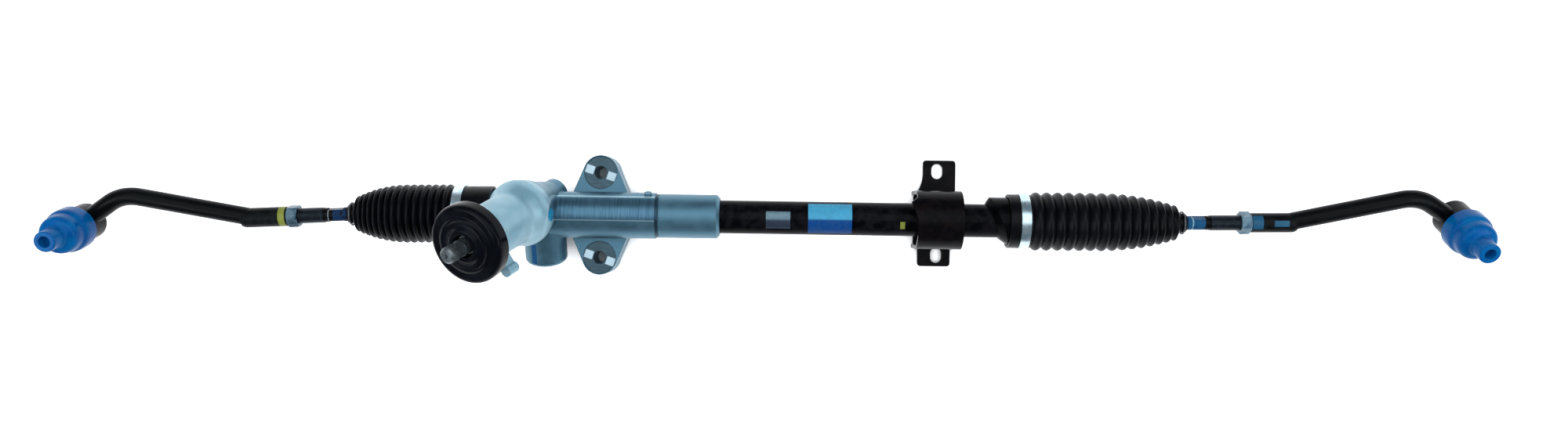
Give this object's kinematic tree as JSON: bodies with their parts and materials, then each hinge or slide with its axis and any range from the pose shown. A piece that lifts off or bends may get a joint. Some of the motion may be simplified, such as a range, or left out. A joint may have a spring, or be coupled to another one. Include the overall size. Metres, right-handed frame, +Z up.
{
  "type": "steering rack",
  "caption": "Manual rack-and-pinion steering gear with a bolted housing, clamped tube, bellows, tie rods and capped ball studs.",
  "frame": {"origin": "midway between the two bolt holes of the pinion housing, on its mounting face", "axes": "+X along the rack to the right, +Y forwards, +Z up out of the mounting face"},
  "size_m": [1.3576, 0.1172, 0.1733],
  "materials": {
    "cast_aluminium": "as cast, bead blasted",
    "machined_steel": "turned",
    "bearing_steel": "ground",
    "black_tube_paint": "satin black paint",
    "black_forging": "black oxide",
    "plated_steel": "zinc plated",
    "band_steel": "bright",
    "bellows_rubber": "smooth",
    "bush_rubber": "matt",
    "seal_rubber": "smooth",
    "seat_plastic": "plain",
    "cap_plastic": "satin, slightly clear",
    "spring_steel": "plain"
  },
  "bodies": {
    "housing": {"pinion_housing": "cast_aluminium", "pinion_lower_bearing": "bearing_steel", "bearing_outer_ring": "bearing_steel", "bearing_retainer": "machined_steel", "pinion_end_cap": "machined_steel", "pinion_oil_seal": "seal_rubber", "snap_ring": "spring_steel", "dust_cover": "bush_rubber", "yoke": "cast_aluminium", "yoke_liner": "seat_plastic", "yoke_spring": "spring_steel", "yoke_plug": "cast_aluminium", "yoke_o_ring": "seal_rubber", "rack_tube": "black_tube_paint", "rack_bush": "seat_plastic", "tube_end_collar": "black_tube_paint", "mount_bracket": "black_tube_paint", "bracket_bush": "bush_rubber", "left_boot": "bellows_rubber", "right_boot": "bellows_rubber", "left_boot_band": "band_steel", "right_boot_band": "band_steel"},
    "pinion": {"pinion_shaft": "machined_steel", "bearing_inner_ring": "bearing_steel", "bearing_balls": "bearing_steel"},
    "rack": {"rack_bar": "machined_steel", "left_inner_socket": "machined_steel", "left_lock_washer": "machined_steel", "right_inner_socket": "machined_steel", "right_lock_washer": "machined_steel"},
    "left_seat": {"left_inner_seat": "seat_plastic"},
    "left_tie_rod": {"left_tie_rod": "black_forging", "left_boot_clip": "spring_steel", "left_jam_nut": "plated_steel", "left_tie_rod_end": "black_forging", "left_ball_seat": "seat_plastic", "left_ball_plate": "black_forging", "left_dust_boot": "bellows_rubber", "left_dust_boot_ring": "spring_steel"},
    "left_stud": {"left_ball_stud": "machined_steel"},
    "left_cap": {"left_stud_cap": "cap_plastic"},
    "right_seat": {"right_inner_seat": "seat_plastic"},
    "right_tie_rod": {"right_tie_rod": "black_forging", "right_boot_clip": "spring_steel", "right_jam_nut": "plated_steel", "right_tie_rod_end": "black_forging", "right_ball_seat": "seat_plastic", "right_ball_plate": "black_forging", "right_dust_boot": "bellows_rubber", "right_dust_boot_ring": "spring_steel"},
    "right_stud": {"right_ball_stud": "machined_steel"},
    "right_cap": {"right_stud_cap": "cap_plastic"}
  },
  "joints": [
    {"name": "rack_slide", "type": "slide", "parent": "housing", "child": "rack", "axis": [1, 0, 0], "range_m": [-0.092, 0.044], "deforming": ["left_boot", "right_boot"]},
    {"name": "pinion_spin", "type": "hinge", "parent": "housing", "child": "pinion", "pos_m": [-0.0525, 0.01372, 0.04554], "axis": [-0.3875, -0.3453, 0.8547], "range_deg": [-755, 362]},
    {"name": "left_bump", "type": "hinge", "parent": "rack", "child": "left_seat", "pos_m": [-0.187, 0, 0.04], "axis": [-0.0523, 0.9986, 0], "range_deg": [-20, 20]},
    {"name": "left_fore_aft", "type": "hinge", "parent": "left_seat", "child": "left_tie_rod", "pos_m": [-0.187, 0, 0.04], "axis": [0, 0, 1], "range_deg": [-10, 10]},
    {"name": "left_stud_swivel", "type": "hinge", "parent": "left_tie_rod", "child": "left_stud", "pos_m": [-0.49458, -0.01612, 0.04], "axis": [0.0135, -0.2585, 0.9659], "continuous": true},
    {"name": "left_cap_pull", "type": "slide", "parent": "left_tie_rod", "child": "left_cap", "axis": [0.0135, -0.2585, 0.9659], "range_m": [0, 0.07]},
    {"name": "right_bump", "type": "hinge", "parent": "rack", "child": "right_seat", "pos_m": [0.509, 0, 0.04], "axis": [-0.0175, 0.9998, 0], "range_deg": [-20, 20]},
    {"name": "right_fore_aft", "type": "hinge", "parent": "right_seat", "child": "right_tie_rod", "pos_m": [0.509, 0, 0.04], "axis": [0, 0, 1], "range_deg": [-10, 10]},
    {"name": "right_stud_swivel", "type": "hinge", "parent": "right_tie_rod", "child": "right_stud", "pos_m": [0.82095, 0.00545, 0.04], "axis": [0.0082, -0.4694, 0.8829], "continuous": true},
    {"name": "right_cap_pull", "type": "slide", "parent": "right_tie_rod", "child": "right_cap", "axis": [0.0082, -0.4694, 0.8829], "range_m": [0, 0.07]}
  ],
  "couplings": [
    {"joint": "pinion_spin", "follows": "rack_slide", "rad_per_m": 142.86}
  ]
}
